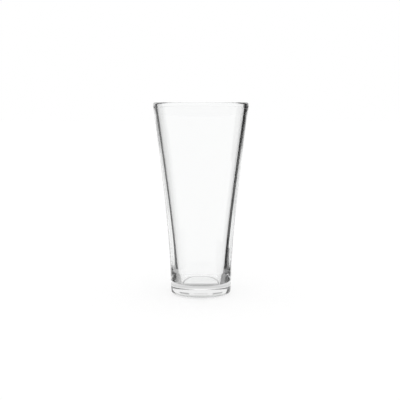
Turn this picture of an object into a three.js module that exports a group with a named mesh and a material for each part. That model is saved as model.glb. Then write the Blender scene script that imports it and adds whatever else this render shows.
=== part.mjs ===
// Water glass: a flared tumbler with a heavy base, in clear soda-lime glass.
// Millimetres, +Z up. The glass turns about Z and stands on the table at z = 0.
// The glass is one moulding. Its three regions, base, wall and rim, are separate solids here,
// and they meet face to face on flat rings.

import * as THREE from 'three';

// Mouth and rim bead
const HEIGHT = 160; // table to the top of the rim
const MOUTH_DIAMETER = 79.1; // outside of the bead
const WALL_AT_RIM = 3.25;
const BEAD_SWELL = 0.2; // how far the bead stands out from the wall under it
const NECK_DEPTH = 2.2; // from the middle of the bead down to the wall

// Flare of the wall: a parabola that runs out of the upright base and into the straight mouth.
// The bend is where those two directions would cross.
const BEND_HEIGHT = 58;
const BEND_DIAMETER = 53.06;
const WALL_AT_BEND = 4.1;

// Heavy base
const FLOOR_THICKNESS = 9.7; // table to the edge of the inside floor
const FLOOR_DIAMETER = 35.5; // where the tapering inside meets the floor
const FLOOR_CROWN = 0.3; // how far the middle of the floor stands above its edge
const COVE_REACH = 0.5; // rounding between the floor and the inside
const TAPER_HEIGHT = 9.8; // from the floor up the tapering inside to where the wall starts
const BASE_DIAMETER = 51.56; // outside, where the wall starts
const WALL_AT_BASE = 5.94;

// Foot that meets the table
const FOOT_DIAMETER = 50.57; // outside, just above the heel
const HEEL_RADIUS = 2.3;
const BEARING_WIDTH = 1; // flat ring that carries the glass
const RING_EDGE = 0.3; // rounding between the ring and the hollow
const PUSH_UP_DEPTH = 2.15; // hollow under the middle of the base

// Fineness of the facets
const TURN_STEPS = 64;
const CURVE_STEPS = 5;

// Radii and heights that the regions share
const mouthRadius = MOUTH_DIAMETER / 2;
const beadRadius = (WALL_AT_RIM + BEAD_SWELL) / 2;
const beadHeight = HEIGHT - beadRadius;
const rim = {
  height: beadHeight - NECK_DEPTH,
  outside: mouthRadius - BEAD_SWELL,
  inside: mouthRadius - BEAD_SWELL - WALL_AT_RIM,
};
const bend = {
  height: BEND_HEIGHT,
  outside: BEND_DIAMETER / 2,
  inside: BEND_DIAMETER / 2 - WALL_AT_BEND,
};
const base = {
  height: FLOOR_THICKNESS + TAPER_HEIGHT,
  outside: BASE_DIAMETER / 2,
  inside: BASE_DIAMETER / 2 - WALL_AT_BASE,
};

/** Clear, fire-polished glass with the faint cool cast of a thick edge. */
function clearGlass() {
  return new THREE.MeshStandardMaterial({
    color: 0xf1f5f4,
    roughness: 0.04,
    metalness: 0,
    transparent: true,
    opacity: 0.3,
  });
}

/** Turns an outline of (radius, height) points about the axis of the glass. */
function turned(name, outline) {
  const geometry = new THREE.LatheGeometry(outline.getPoints(CURVE_STEPS), TURN_STEPS);
  geometry.rotateX(Math.PI / 2);
  const region = new THREE.Mesh(geometry, clearGlass());
  region.name = name;
  return region;
}

/** Base: push-up, bearing ring, heel and side outside, then the taper, the cove and the crowned floor. */
function baseOutline() {
  const footRadius = FOOT_DIAMETER / 2;
  const heelCentre = footRadius - HEEL_RADIUS;
  const ringInside = heelCentre - BEARING_WIDTH;
  const pushUpRadius = ringInside - RING_EDGE;
  const sideMiddle = (HEEL_RADIUS + base.height) / 2;
  const floorEdge = new THREE.Vector2(FLOOR_DIAMETER / 2, FLOOR_THICKNESS);
  const taper = new THREE.Vector2(base.inside, base.height).sub(floorEdge);
  const coveTop = taper.setLength(COVE_REACH).add(floorEdge);
  const crownRadius = floorEdge.x - COVE_REACH;
  const floorMiddle = FLOOR_THICKNESS + FLOOR_CROWN;

  const outline = new THREE.Path();
  outline.moveTo(0, PUSH_UP_DEPTH);
  outline.quadraticCurveTo(pushUpRadius, PUSH_UP_DEPTH, pushUpRadius, RING_EDGE);
  outline.quadraticCurveTo(pushUpRadius, 0, ringInside, 0);
  outline.lineTo(heelCentre, 0);
  outline.absarc(heelCentre, HEEL_RADIUS, HEEL_RADIUS, -Math.PI / 2, 0);
  outline.quadraticCurveTo(base.outside, sideMiddle, base.outside, base.height);
  outline.lineTo(base.inside, base.height);
  outline.lineTo(coveTop.x, coveTop.y);
  outline.quadraticCurveTo(floorEdge.x, floorEdge.y, crownRadius, FLOOR_THICKNESS);
  outline.quadraticCurveTo(crownRadius / 2, floorMiddle, 0, floorMiddle);
  return outline;
}

/** Wall: up the outside of the flare, across under the rim and down the inside. */
function wallOutline() {
  const outline = new THREE.Path();
  outline.moveTo(base.outside, base.height);
  outline.quadraticCurveTo(bend.outside, bend.height, rim.outside, rim.height);
  outline.lineTo(rim.inside, rim.height);
  outline.quadraticCurveTo(bend.inside, bend.height, base.inside, base.height);
  outline.closePath();
  return outline;
}

/** Rim: the neck swells into a half-round, fire-polished bead. */
function rimOutline() {
  const neckMiddle = (rim.height + beadHeight) / 2;
  const outline = new THREE.Path();
  outline.moveTo(rim.outside, rim.height);
  outline.quadraticCurveTo(mouthRadius, neckMiddle, mouthRadius, beadHeight);
  outline.absarc(mouthRadius - beadRadius, beadHeight, beadRadius, 0, Math.PI);
  outline.lineTo(rim.inside, rim.height);
  outline.closePath();
  return outline;
}

const waterGlass = new THREE.Group();
waterGlass.name = 'water_glass';
waterGlass.add(turned('base', baseOutline()));
waterGlass.add(turned('wall', wallOutline()));
waterGlass.add(turned('rim', rimOutline()));

export default waterGlass;
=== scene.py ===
"""Water glass: a clear, flared tumbler with a heavy base, on a plain white studio table."""

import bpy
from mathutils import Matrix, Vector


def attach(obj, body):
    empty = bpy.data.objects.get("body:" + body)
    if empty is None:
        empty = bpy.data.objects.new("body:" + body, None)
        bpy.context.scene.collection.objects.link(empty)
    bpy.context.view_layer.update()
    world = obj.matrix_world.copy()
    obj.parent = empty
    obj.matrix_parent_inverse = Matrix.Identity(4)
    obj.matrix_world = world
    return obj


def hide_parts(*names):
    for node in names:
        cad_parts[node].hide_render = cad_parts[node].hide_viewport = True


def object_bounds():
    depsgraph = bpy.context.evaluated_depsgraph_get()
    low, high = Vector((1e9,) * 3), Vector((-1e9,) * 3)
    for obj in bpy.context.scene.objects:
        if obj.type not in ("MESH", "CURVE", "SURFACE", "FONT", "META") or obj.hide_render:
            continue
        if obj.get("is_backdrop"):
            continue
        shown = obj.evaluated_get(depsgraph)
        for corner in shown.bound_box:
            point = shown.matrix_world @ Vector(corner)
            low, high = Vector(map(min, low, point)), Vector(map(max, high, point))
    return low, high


bl_info = {
    "name": "Water Glass",
    "version": (1, 0, 0),
    "blender": (4, 5, 0),
    "location": "View3D > Sidebar > Water Glass",
    "description": "Turns a clear flared water glass and sets a white studio stage for it",
    "category": "Add Mesh",
}

import math
from typing import NamedTuple

import bpy
from bpy.props import FloatProperty, FloatVectorProperty, IntProperty, PointerProperty

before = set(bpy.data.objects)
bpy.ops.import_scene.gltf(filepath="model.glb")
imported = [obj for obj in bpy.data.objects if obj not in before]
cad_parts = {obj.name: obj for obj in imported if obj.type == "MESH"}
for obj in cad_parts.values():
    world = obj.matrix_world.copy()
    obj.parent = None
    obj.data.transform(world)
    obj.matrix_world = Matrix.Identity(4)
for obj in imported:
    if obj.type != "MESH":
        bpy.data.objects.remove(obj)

# Box of the CAD model, taken before anything is built
CAD_LOW, CAD_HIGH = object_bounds()

MM = 0.001
WHITE = (1.0, 1.0, 1.0, 1.0)

# Mesh of the glass
ROUND_HANDLE = 0.5523  # share of the way to the corner that makes a handle draw a quarter circle
CURVE_STEPS = 64  # steps in which each curve of the section is drawn
WELD_DISTANCE = 0.001 * MM  # points this close become one
SOCKET_KINDS = {"FLOAT": "NodeSocketFloat", "INT": "NodeSocketInt"}

# Washing marks: how high the noise is where a mark starts and where it is full, and its grain
MARK_START = 0.5
MARK_FULL = 0.8
MARK_DETAIL = 4.0
MARK_ROUGHNESS = 0.6

# Stage, with heights in millimetres: a sheet of painted shade lies just over the table and under the
# glass
SHADE_SHEET_HEIGHT = -0.005
TABLE_HEIGHT = -0.01
BAND_STEPS = 48
SOLID_CROSSINGS = 2  # surfaces that light crosses when it enters and leaves the glass once
HALF_COUNT = 0.5  # keeps a test of a whole number clear of the number itself

# Camera and light
PHOTO_PIXELS = 400
SENSOR_WIDTH = 36.0
CLIP_START = 0.01
LIGHT_BOUNCES = 24


def length(name, description, default):
    """A size in metres."""
    return FloatProperty(
        name=name,
        description=description,
        default=default,
        min=0.0,
        unit="LENGTH",
        precision=5,
    )


def share(name, description, default):
    """A number from 0 to 1."""
    return FloatProperty(
        name=name,
        description=description,
        default=default,
        min=0.0,
        max=1.0,
        subtype="FACTOR",
    )


def angle(name, description, degrees):
    """A turn in degrees, kept in radians."""
    return FloatProperty(
        name=name,
        description=description,
        default=math.radians(degrees),
        subtype="ANGLE",
    )


def number(name, description, default):
    """A number without a unit."""
    return FloatProperty(name=name, description=description, default=default)


def count(name, description, default, least):
    """A whole number."""
    return IntProperty(name=name, description=description, default=default, min=least)


class WaterGlassSizes(bpy.types.PropertyGroup):
    """Sizes of the glass"""

    height: length("Height", "Table to the top of the rim", CAD_HIGH.z)
    mouth_diameter: length("Mouth Diameter", "Outside of the bead", CAD_HIGH.x - CAD_LOW.x)
    wall_at_rim: length("Wall at Rim", "Thickness of the wall under the bead", 3.25 * MM)
    bead_swell: length("Bead Swell", "How far the bead stands out from the wall", 0.2 * MM)
    neck_depth: length("Neck Depth", "Middle of the bead down to the wall", 2.2 * MM)
    bend_height: length("Bend Height", "Where upright base and flared mouth would cross", 58 * MM)
    bend_diameter: length("Bend Diameter", "Outside at the bend", 53.06 * MM)
    wall_at_bend: length("Wall at Bend", "Thickness of the wall at the bend", 4.1 * MM)
    base_height: length("Base Height", "Table to where the wall starts", 19.5 * MM)
    base_diameter: length("Base Diameter", "Outside where the wall starts", 51.56 * MM)
    wall_at_base: length("Wall at Base", "Thickness where the wall starts", 5.94 * MM)
    floor_thickness: length("Floor Thickness", "Table to the edge of the inside floor", 9.7 * MM)
    floor_diameter: length("Floor Diameter", "Inside at the floor", 35.5 * MM)
    floor_crown: length("Floor Crown", "How far the floor rises to its middle", 0.3 * MM)
    cove_reach: length("Cove Reach", "Rounding between the inside and the floor", 0.5 * MM)
    foot_diameter: length("Foot Diameter", "Outside just above the heel", 50.57 * MM)
    heel_radius: length("Heel Radius", "Rounding between the side and the table", 2.3 * MM)
    bearing_width: length("Bearing Width", "Flat ring that carries the glass", 1.0 * MM)
    ring_edge: length("Ring Edge", "Rounding between the ring and the hollow", 0.3 * MM)
    push_up_depth: length("Push-up Depth", "Hollow under the base", 2.15 * MM)
    wave_depth: length("Wave Depth", "How uneven the mould leaves the wall", 0.04 * MM)
    wave_length: length("Wave Length", "Length of one wave of the wall", 22 * MM)
    steps_around: count("Steps Around", "Faces around the axis", 192, 12)
    steps_along: count("Steps Along", "Faces along each curve of the section", 20, 2)


class WaterGlassFinish(bpy.types.PropertyGroup):
    """Look of the glass"""

    tint: FloatVectorProperty(
        name="Tint",
        description="Share of light that the glass lets through at each surface",
        default=(0.972, 0.975, 0.974),
        min=0.0,
        max=1.0,
        subtype="COLOR",
    )
    refraction: number("Refraction", "Index of refraction of soda-lime glass", 1.52)
    haze: share("Haze", "Most roughness that washing leaves", 0.005)
    haze_length: length("Haze Length", "Size of the washing marks", 18 * MM)
    ripple: length("Ripple", "Depth of the fire-polished skin's ripple", 0.01 * MM)
    ripple_length: length("Ripple Length", "Length of one ripple", 14 * MM)


class WaterGlassStage(bpy.types.PropertyGroup):
    """Table, room and camera"""

    room: number("Room", "Strength of the even white light around", 1.0)
    table_shade: share("Table Shade", "Light that the table loses in a shadow", 0.27)
    table_glow: share("Table Glow", "Light that the table shows by itself", 0.75)
    table_side: length("Table Side", "Length of the table's side", 10.0)
    camera_distance: length("Camera Distance", "Axis of the glass to the lens", 629 * MM)
    camera_height: length("Camera Height", "Table to the lens", 162 * MM)
    camera_left: length("Camera Left", "How far the lens stands left of the axis", 0.75 * MM)
    camera_tilt: angle("Camera Tilt", "How far the camera looks down", 7.53)
    focal_pixels: number("Focal Length", "Focal length in pixels of the picture", 757.0)


class Card(NamedTuple):
    """A grey band around the glass that only light from the glass sees.

    Light has to be reflected inside the glass as often as the card asks. By its sight, a card shows
    to light of these paths:
    solid: light that has crossed one wall
    clear: light that has crossed one wall and was not reflected
    straight: light that has crossed one wall, or was not reflected
    full: all light from the glass
    A mirrored card also shows in the reflections on the outside. Each fade takes a card from its
    grey to clear between two places along Y.
    """

    name: str
    turn: tuple  # start and end in degrees, from straight behind the glass to the right
    low: tuple  # radius and height in millimetres
    high: tuple
    grey: float
    reflections: int = 0
    sight: str = "solid"
    is_mirrored: bool = False
    fades: tuple = ()  # start and end of each in millimetres


def shade_sheet(name, turn, inside, outside, grey, **settings):
    """A card that lies on the table, between two radii, as a grey sheet of painted shade."""
    return Card(name, turn, (inside, SHADE_SHEET_HEIGHT), (outside, SHADE_SHEET_HEIGHT), grey, **settings)


CARDS = (
    # Sides of the room: the dark lines in the wall
    Card("right_card", (61, 75), (60, 0), (60, 400), 0.03, sight="straight", is_mirrored=True),
    Card("right_flag", (75, 98), (60, 0), (60, 400), 0.0, reflections=1, is_mirrored=True),
    Card("left_card", (-66, -107), (60, 0), (60, 400), 0.1, reflections=1, is_mirrored=True),
    # Rest of the room: the tones in the base and the rim
    Card("backdrop", (-46, 58), (300, 0), (300, 180), 0.88, reflections=1),
    Card("right_room", (58, 85), (300, 40), (300, 180), 0.0, reflections=1),
    Card("left_room", (-46, -80), (300, 40), (300, 180), 0.0, reflections=1),
    Card("front_room", (115, 245), (300, 0), (300, 180), 0.0, reflections=2),
    Card("upper_room", (0, 360), (300, 180), (300, 590), 0.45, reflections=1),
    Card("ceiling", (0, 360), (300, 590), (1, 590), 0.45, reflections=1),
    # Strokes and patches low in the base
    Card("right_stripe", (3, 45), (30, 6), (62, 6), 0.0, sight="clear"),
    Card("left_stripe", (-3, -45), (30, 6), (62, 6), 0.0, sight="clear"),
    Card("right_patch", (14, 31), (290, 86), (290, 124), 0.45, reflections=1),
    Card("middle_patch", (-8, 8), (290, 82), (290, 108), 0.75, reflections=1),
    Card("left_patch", (-14, -31), (290, 86), (290, 124), 0.45, reflections=1),
    # Painted shade on the table around and under the glass: grey sheets that give the tones at the
    # floor's ends, its ellipse and its front line
    # Painted shade on the table behind the foot and beside it, at the feet of the side cards
    shade_sheet("back_painted_shade", (-52, 37), 26, 70, 0.7),
    shade_sheet("right_painted_shade", (37, 119), 25, 140, 0.25, reflections=1),
    shade_sheet("left_painted_shade", (-52, -119), 25, 170, 0.5, reflections=1),
    # Painted shade ring on the table under the glass, which the glass shows as the ellipse line of
    # its inside floor
    shade_sheet("painted_shade_ring", (0, 360), 16.5, 18.5, 0.4, sight="full"),
    # Painted contact shadow under the front of the base, faded to a band along Y, which the glass
    # shows as its floor's front line
    shade_sheet("soft_shade", (0, 360), 0.01, 16.5, 0.15, sight="full", fades=((-3, 3), (-8, -14))),
)


class Term:
    """A number in a node tree that can be reckoned with like a plain number."""

    def __init__(self, tree, socket):
        self.tree = tree
        self.socket = socket

    def reckon(self, operation, *values):
        """The Term that a Math node makes of the values."""
        node = add_node(self.tree, "ShaderNodeMath", values, operation=operation)
        return Term(self.tree, node.outputs[0])

    def __add__(self, other):
        return self.reckon("ADD", self, other)

    def __sub__(self, other):
        return self.reckon("SUBTRACT", self, other)

    def __rsub__(self, other):
        return self.reckon("SUBTRACT", other, self)

    def __mul__(self, other):
        return self.reckon("MULTIPLY", self, other)

    def __truediv__(self, other):
        return self.reckon("DIVIDE", self, other)

    def floor(self):
        return self.reckon("FLOOR", self)

    def cosine(self):
        return self.reckon("COSINE", self)

    def sine(self):
        return self.reckon("SINE", self)

    def lower_of(self, other):
        return self.reckon("MINIMUM", self, other)

    def higher_of(self, other):
        return self.reckon("MAXIMUM", self, other)

    def counts_from(self, least):
        """1 where a whole number is at least the given one, and 0 elsewhere."""
        return self.reckon("GREATER_THAN", self, least - HALF_COUNT)

    def counts_to(self, most):
        """1 where a whole number is at most the given one, and 0 elsewhere."""
        return self.reckon("LESS_THAN", self, most + HALF_COUNT)


def feed(tree, socket, value):
    """Links a Term or a socket to an input, or sets the input to a plain value."""
    if isinstance(value, Term):
        value = value.socket
    if isinstance(value, bpy.types.NodeSocket):
        tree.links.new(value, socket)
    else:
        socket.default_value = value


def add_node(tree, kind, inputs=(), **settings):
    """A new node. Inputs come by name in a dict, or by place in a list."""
    node = tree.nodes.new(kind)
    for name, value in settings.items():
        setattr(node, name, value)
    pairs = inputs.items() if isinstance(inputs, dict) else enumerate(inputs)
    for key, value in pairs:
        feed(tree, node.inputs[key], value)
    return node


def empty_tree(owner):
    """The cleared node tree of a material or a world."""
    owner.use_nodes = True
    owner.node_tree.nodes.clear()
    return owner.node_tree


def settings_of(group):
    """The names of a group's own settings."""
    return [each.identifier for each in group.bl_rna.properties if each.type in SOCKET_KINDS]


def point(tree, place):
    """A point of the section, from its radius and its height."""
    radius, height = place
    return add_node(tree, "ShaderNodeCombineXYZ", {"X": radius, "Z": height}).outputs[0]


def line(tree, start, end):
    """A straight piece of the section."""
    inputs = {"Start": point(tree, start), "End": point(tree, end)}
    return add_node(tree, "GeometryNodeCurvePrimitiveLine", inputs, mode="POINTS").outputs[0]


def bow(tree, start, middle, end):
    """A parabola that leaves its start and reaches its end along the lines to the middle point."""
    inputs = {
        "Resolution": CURVE_STEPS,
        "Start": point(tree, start),
        "Middle": point(tree, middle),
        "End": point(tree, end),
    }
    return add_node(tree, "GeometryNodeCurveQuadraticBezier", inputs).outputs[0]


def rounding(tree, start, corner, end):
    """A rounded corner, a quarter circle where the corner is square."""
    handles = []
    for place in (start, end):
        handles.append([a + (c - a) * ROUND_HANDLE for a, c in zip(place, corner)])
    inputs = {
        "Resolution": CURVE_STEPS,
        "Start": point(tree, start),
        "Start Handle": point(tree, handles[0]),
        "End Handle": point(tree, handles[1]),
        "End": point(tree, end),
    }
    node = add_node(tree, "GeometryNodeCurvePrimitiveBezierSegment", inputs, mode="POSITION")
    return node.outputs[0]


def section(tree, size):
    """The curves of the glass, from the middle of its underside to the middle of its inside floor."""
    height = size["height"]
    mouth = size["mouth_diameter"] / 2
    bead = (size["wall_at_rim"] + size["bead_swell"]) / 2
    bead_height = height - bead
    rim_height = bead_height - size["neck_depth"]
    rim_outside = mouth - size["bead_swell"]
    rim_inside = rim_outside - size["wall_at_rim"]
    neck_middle = (rim_height + bead_height) / 2
    bend_height = size["bend_height"]
    bend_outside = size["bend_diameter"] / 2
    bend_inside = bend_outside - size["wall_at_bend"]
    base_height = size["base_height"]
    base_outside = size["base_diameter"] / 2
    base_inside = base_outside - size["wall_at_base"]
    heel = size["heel_radius"]
    foot = size["foot_diameter"] / 2
    side_middle = (heel + base_height) / 2
    ring = foot - heel
    ring_inside = ring - size["bearing_width"]
    hollow = ring_inside - size["ring_edge"]
    hollow_height = size["push_up_depth"]
    floor = size["floor_thickness"]
    floor_edge = size["floor_diameter"] / 2
    crown = floor + size["floor_crown"]
    reach = size["cove_reach"]
    cove_outside = floor_edge + (base_inside - floor_edge) * reach / (base_height - floor)
    cove_inside = floor_edge - reach

    hollow_edge = (hollow, size["ring_edge"])
    ring_start = (ring_inside, 0.0)
    ring_end = (ring, 0.0)
    heel_top = (foot, heel)
    wall_start = (base_outside, base_height)
    neck_start = (rim_outside, rim_height)
    bead_start = (mouth, bead_height)
    bead_top = (mouth - bead, height)
    bead_end = (rim_inside, bead_height)
    neck_end = (rim_inside, rim_height)
    wall_end = (base_inside, base_height)
    cove_start = (cove_outside, floor + reach)
    cove_end = (cove_inside, floor)
    return [
        bow(tree, (0.0, hollow_height), (hollow, hollow_height), hollow_edge),
        rounding(tree, hollow_edge, (hollow, 0.0), ring_start),
        line(tree, ring_start, ring_end),
        rounding(tree, ring_end, (foot, 0.0), heel_top),
        bow(tree, heel_top, (base_outside, side_middle), wall_start),
        bow(tree, wall_start, (bend_outside, bend_height), neck_start),
        bow(tree, neck_start, (mouth, neck_middle), bead_start),
        rounding(tree, bead_start, (mouth, height), bead_top),
        rounding(tree, bead_top, (rim_inside, height), bead_end),
        line(tree, bead_end, neck_end),
        bow(tree, neck_end, (bend_inside, bend_height), wall_end),
        line(tree, wall_end, cove_start),
        rounding(tree, cove_start, (floor_edge, floor), cove_end),
        bow(tree, cove_end, (cove_inside / 2, crown), (0.0, crown)),
    ]


def turned_tree(sizes):
    """The node tree that draws the section and turns it about the axis of the glass."""
    tree = bpy.data.node_groups.new("turned glass", "GeometryNodeTree")
    tree.interface.new_socket("Geometry", in_out="OUTPUT", socket_type="NodeSocketGeometry")
    for name in settings_of(sizes):
        kind = SOCKET_KINDS[sizes.bl_rna.properties[name].type]
        tree.interface.new_socket(name, in_out="INPUT", socket_type=kind)
    tree.interface.new_socket("material", in_out="INPUT", socket_type="NodeSocketMaterial")
    given = add_node(tree, "NodeGroupInput").outputs
    size = {socket.name: Term(tree, socket) for socket in given}

    # Section: a joined curve counts its newest link first
    pieces = section(tree, size)
    joined = add_node(tree, "GeometryNodeJoinGeometry")
    for piece in reversed(pieces):
        tree.links.new(piece, joined.inputs[0])

    # Grid: its rows run along the section, its columns backward around the axis, so faces point out
    around = size["steps_around"]
    along = size["steps_along"]
    columns = around + 1
    inputs = {"Vertices X": along * len(pieces) + 1, "Vertices Y": columns}
    grid = add_node(tree, "GeometryNodeMeshGrid", inputs)
    index = Term(tree, add_node(tree, "GeometryNodeInputIndex").outputs[0])
    row = (index / columns).floor()
    turn = (index - row * columns) / around * -2 * math.pi
    piece = (row / along).floor().lower_of(len(pieces) - 1)
    inputs = {"Curves": joined.outputs[0], "Factor": row / along - piece, "Curve Index": piece}
    sample = add_node(tree, "GeometryNodeSampleCurve", inputs, mode="FACTOR")
    drawn = add_node(tree, "ShaderNodeSeparateXYZ", [sample.outputs["Position"]]).outputs
    radius = Term(tree, drawn["X"])

    # Waves of the wall: they move a point only out or in, by a noise between 0 and 1
    inputs = {
        "X": radius * turn.cosine() / size["wave_length"],
        "Y": radius * turn.sine() / size["wave_length"],
        "Z": Term(tree, drawn["Z"]) / size["wave_length"],
    }
    place = add_node(tree, "ShaderNodeCombineXYZ", inputs).outputs[0]
    inputs = {"Vector": place, "Scale": 1.0, "Detail": 1.0}
    noise = Term(tree, add_node(tree, "ShaderNodeTexNoise", inputs).outputs[0])
    wave = (noise - 0.5) * 2 * size["wave_depth"] / (size["mouth_diameter"] / 2)
    waved = radius * (wave + 1)
    inputs = {"X": waved * turn.cosine(), "Y": waved * turn.sine(), "Z": drawn["Z"]}
    spot = add_node(tree, "ShaderNodeCombineXYZ", inputs).outputs[0]

    shape = grid.outputs[0]
    for kind, inputs in (
        ("GeometryNodeSetPosition", {"Position": spot}),
        ("GeometryNodeMergeByDistance", {"Distance": WELD_DISTANCE}),
        ("GeometryNodeSetShadeSmooth", {}),
        ("GeometryNodeRealizeInstances", {}),
        ("GeometryNodeSetMaterial", {"Material": given["material"]}),
    ):
        shape = add_node(tree, kind, {"Geometry": shape, **inputs}).outputs[0]
    add_node(tree, "NodeGroupOutput", [shape])
    return tree


def glass_material(finish):
    """Clear glass with a faint ripple in its fire-polished skin and a trace of haze."""
    material = bpy.data.materials.new("clear glass")
    tree = empty_tree(material)
    place = add_node(tree, "ShaderNodeTexCoord").outputs["Object"]
    inputs = {
        "Vector": place,
        "Scale": 1 / finish.haze_length,
        "Detail": MARK_DETAIL,
        "Roughness": MARK_ROUGHNESS,
    }
    marks = add_node(tree, "ShaderNodeTexNoise", inputs)
    inputs = {
        "Value": marks.outputs[0],
        "From Min": MARK_START,
        "From Max": MARK_FULL,
        "To Min": 0.0,
        "To Max": finish.haze,
    }
    haze = add_node(tree, "ShaderNodeMapRange", inputs)
    inputs = {"Vector": place, "Scale": 1 / finish.ripple_length, "Detail": 0.0}
    skin = add_node(tree, "ShaderNodeTexNoise", inputs)
    inputs = {"Height": skin.outputs[0], "Strength": 1.0, "Distance": finish.ripple}
    bump = add_node(tree, "ShaderNodeBump", inputs)
    inputs = {
        "Base Color": (*finish.tint, 1.0),
        "Roughness": haze.outputs[0],
        "IOR": finish.refraction,
        "Transmission Weight": 1.0,
        "Normal": bump.outputs[0],
    }
    glass = add_node(tree, "ShaderNodeBsdfPrincipled", inputs)
    add_node(tree, "ShaderNodeOutputMaterial", {"Surface": glass.outputs[0]})
    return material


def table_material(stage):
    """White table: it keeps a soft shadow, and the lens and the glass see it white."""
    material = bpy.data.materials.new("white table")
    tree = empty_tree(material)
    path = add_node(tree, "ShaderNodeLightPath").outputs
    camera = Term(tree, path["Is Camera Ray"])
    through = Term(tree, path["Is Transmission Ray"])
    mirrored = Term(tree, path["Is Glossy Ray"]) * (1 - through)
    seen = (camera + through + mirrored) * stage.table_glow
    glow = add_node(tree, "ShaderNodeEmission", {"Color": WHITE, "Strength": seen})
    shade = add_node(tree, "ShaderNodeBsdfDiffuse", {"Color": (*[stage.table_shade] * 3, 1.0)})
    both = add_node(tree, "ShaderNodeAddShader", [glow.outputs[0], shade.outputs[0]])
    add_node(tree, "ShaderNodeOutputMaterial", {"Surface": both.outputs[0]})
    return material


def fade_out(tree, start, end):
    """1 before the start, 0 past the end and a soft step between them, along Y."""
    place = add_node(tree, "ShaderNodeTexCoord").outputs["Object"]
    inputs = {
        "Value": add_node(tree, "ShaderNodeSeparateXYZ", [place]).outputs["Y"],
        "From Min": start,
        "From Max": end,
        "To Min": 1.0,
        "To Max": 0.0,
    }
    return add_node(tree, "ShaderNodeMapRange", inputs, interpolation_type="SMOOTHSTEP").outputs[0]


def card_material(card):
    """One grey, and clear to all light that the card is not meant for."""
    material = bpy.data.materials.new(card.name)
    tree = empty_tree(material)
    path = add_node(tree, "ShaderNodeLightPath").outputs
    reflected = Term(tree, path["Glossy Depth"])
    crossings = Term(tree, path["Transmission Depth"])
    seen = Term(tree, path["Is Transmission Ray"]) * reflected.counts_from(card.reflections)
    one_wall = crossings.counts_to(SOLID_CROSSINGS)
    if card.sight == "solid":
        seen = seen * one_wall
    elif card.sight == "clear":
        seen = seen * one_wall * reflected.counts_to(0)
    elif card.sight == "straight":
        seen = seen * one_wall.higher_of(reflected.counts_to(0))
    if card.is_mirrored:
        seen = seen + Term(tree, path["Is Glossy Ray"]) * crossings.counts_to(0)
    for start, end in card.fades:
        seen = seen * fade_out(tree, start * MM, end * MM)
    grey = add_node(tree, "ShaderNodeEmission", {"Color": WHITE, "Strength": card.grey})
    clear = add_node(tree, "ShaderNodeBsdfTransparent")
    mixed = add_node(tree, "ShaderNodeMixShader", [seen, clear.outputs[0], grey.outputs[0]])
    add_node(tree, "ShaderNodeOutputMaterial", {"Surface": mixed.outputs[0]})
    return material


def put(name, data):
    """A new object at the origin, in the scene."""
    thing = bpy.data.objects.new(name, data)
    bpy.context.scene.collection.objects.link(thing)
    return thing


def plate(name, points, faces, material):
    """A stage object from points and faces."""
    mesh = bpy.data.meshes.new(name)
    mesh.from_pydata(points, [], faces)
    mesh.materials.append(material)
    thing = put(name, mesh)
    thing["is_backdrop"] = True
    return thing


def band(card):
    """A card's band around the axis of the glass, hidden from the lens and from the table."""
    start, end = card.turn
    points = []
    for step in range(BAND_STEPS + 1):
        turn = math.radians(start + (end - start) * step / BAND_STEPS)
        for radius, height in (card.low, card.high):
            reach = radius * MM
            points.append((reach * math.sin(turn), reach * math.cos(turn), height * MM))
    faces = [(2 * k, 2 * k + 2, 2 * k + 3, 2 * k + 1) for k in range(BAND_STEPS)]
    thing = plate(card.name, points, faces, card_material(card))
    thing.visible_camera = False
    thing.visible_diffuse = False
    thing.visible_shadow = False


class WATERGLASS_OT_glass(bpy.types.Operator):
    """Turn the glass from its section"""

    bl_idname = "water_glass.glass"
    bl_label = "Turn Glass"

    def execute(self, context):
        sizes = context.scene.water_glass_sizes
        tree = turned_tree(sizes)
        glass = put("water_glass", bpy.data.meshes.new("water_glass"))
        turner = glass.modifiers.new("turned", "NODES")
        turner.node_group = tree
        for socket in tree.interface.items_tree:
            if socket.in_out == "INPUT" and socket.name != "material":
                turner[socket.identifier] = getattr(sizes, socket.name)
            elif socket.in_out == "INPUT":
                turner[socket.identifier] = glass_material(context.scene.water_glass_finish)
        shape = glass.evaluated_get(context.evaluated_depsgraph_get())
        mesh = bpy.data.meshes.new_from_object(shape)
        glass.modifiers.remove(turner)
        glass.data = mesh
        if not mesh.polygons:
            raise RuntimeError("the section gave no faces")
        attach(glass, "root")
        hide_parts("base", "wall", "rim")
        return {"FINISHED"}


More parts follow.
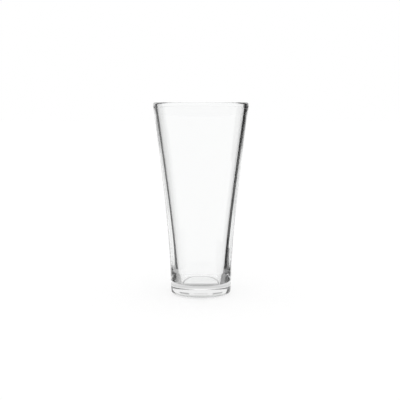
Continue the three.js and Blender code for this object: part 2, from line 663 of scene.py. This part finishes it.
class WATERGLASS_OT_stage(bpy.types.Operator):
    """Set the white table, the cards, the room and the camera"""

    bl_idname = "water_glass.stage"
    bl_label = "Set Stage"

    def execute(self, context):
        scene = context.scene
        stage = scene.water_glass_stage

        half = stage.table_side / 2
        corners = [(-half, -half), (half, -half), (half, half), (-half, half)]
        points = [(x, y, TABLE_HEIGHT * MM) for x, y in corners]
        plate("table", points, [(0, 1, 2, 3)], table_material(stage))

        for card in CARDS:
            band(card)

        scene.world = bpy.data.worlds.new("white room")
        tree = empty_tree(scene.world)
        light = add_node(tree, "ShaderNodeBackground", {"Color": WHITE, "Strength": stage.room})
        add_node(tree, "ShaderNodeOutputWorld", {"Surface": light.outputs[0]})

        camera = put("camera", bpy.data.cameras.new("camera"))
        camera.data.sensor_width = SENSOR_WIDTH
        camera.data.lens = stage.focal_pixels / PHOTO_PIXELS * SENSOR_WIDTH
        camera.data.clip_start = CLIP_START
        camera.location = (-stage.camera_left, -stage.camera_distance, stage.camera_height)
        camera.rotation_euler = (math.pi / 2 - stage.camera_tilt, 0.0, 0.0)
        scene.camera = camera
        scene.view_settings.view_transform = "Standard"
        scene.cycles.max_bounces = LIGHT_BOUNCES
        scene.cycles.transmission_bounces = LIGHT_BOUNCES
        scene.cycles.glossy_bounces = LIGHT_BOUNCES
        return {"FINISHED"}


class WATERGLASS_PT_sidebar(bpy.types.Panel):
    """Lists the steps and the settings of the water glass"""

    bl_label = "Water Glass"
    bl_idname = "WATERGLASS_PT_sidebar"
    bl_space_type = "VIEW_3D"
    bl_region_type = "UI"
    bl_category = "Water Glass"

    def draw(self, context):
        scene = context.scene
        steps = (
            (WATERGLASS_OT_glass, (scene.water_glass_sizes, scene.water_glass_finish)),
            (WATERGLASS_OT_stage, (scene.water_glass_stage,)),
        )
        for operator, groups in steps:
            box = self.layout.box()
            box.operator(operator.bl_idname)
            for group in groups:
                for name in settings_of(group):
                    box.prop(group, name)


CLASSES = (
    WaterGlassSizes,
    WaterGlassFinish,
    WaterGlassStage,
    WATERGLASS_OT_glass,
    WATERGLASS_OT_stage,
    WATERGLASS_PT_sidebar,
)


def register():
    """Adds the classes and the scene's settings."""
    for each in CLASSES:
        bpy.utils.register_class(each)
    bpy.types.Scene.water_glass_sizes = PointerProperty(type=WaterGlassSizes)
    bpy.types.Scene.water_glass_finish = PointerProperty(type=WaterGlassFinish)
    bpy.types.Scene.water_glass_stage = PointerProperty(type=WaterGlassStage)


def unregister():
    """Takes the classes and the scene's settings away again."""
    del bpy.types.Scene.water_glass_stage
    del bpy.types.Scene.water_glass_finish
    del bpy.types.Scene.water_glass_sizes
    for each in reversed(CLASSES):
        bpy.utils.unregister_class(each)


def main():
    """Builds the glass and its stage."""
    register()
    for step in (bpy.ops.water_glass.glass, bpy.ops.water_glass.stage):
        if step() != {"FINISHED"}:
            raise RuntimeError(f"{step.idname()} did not finish")
    boxes = {"cad": [CAD_LOW, CAD_HIGH], "visual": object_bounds()}
    boxes = {name: [list(corner) for corner in box] for name, box in boxes.items()}


if __name__ == "__main__":
    main()
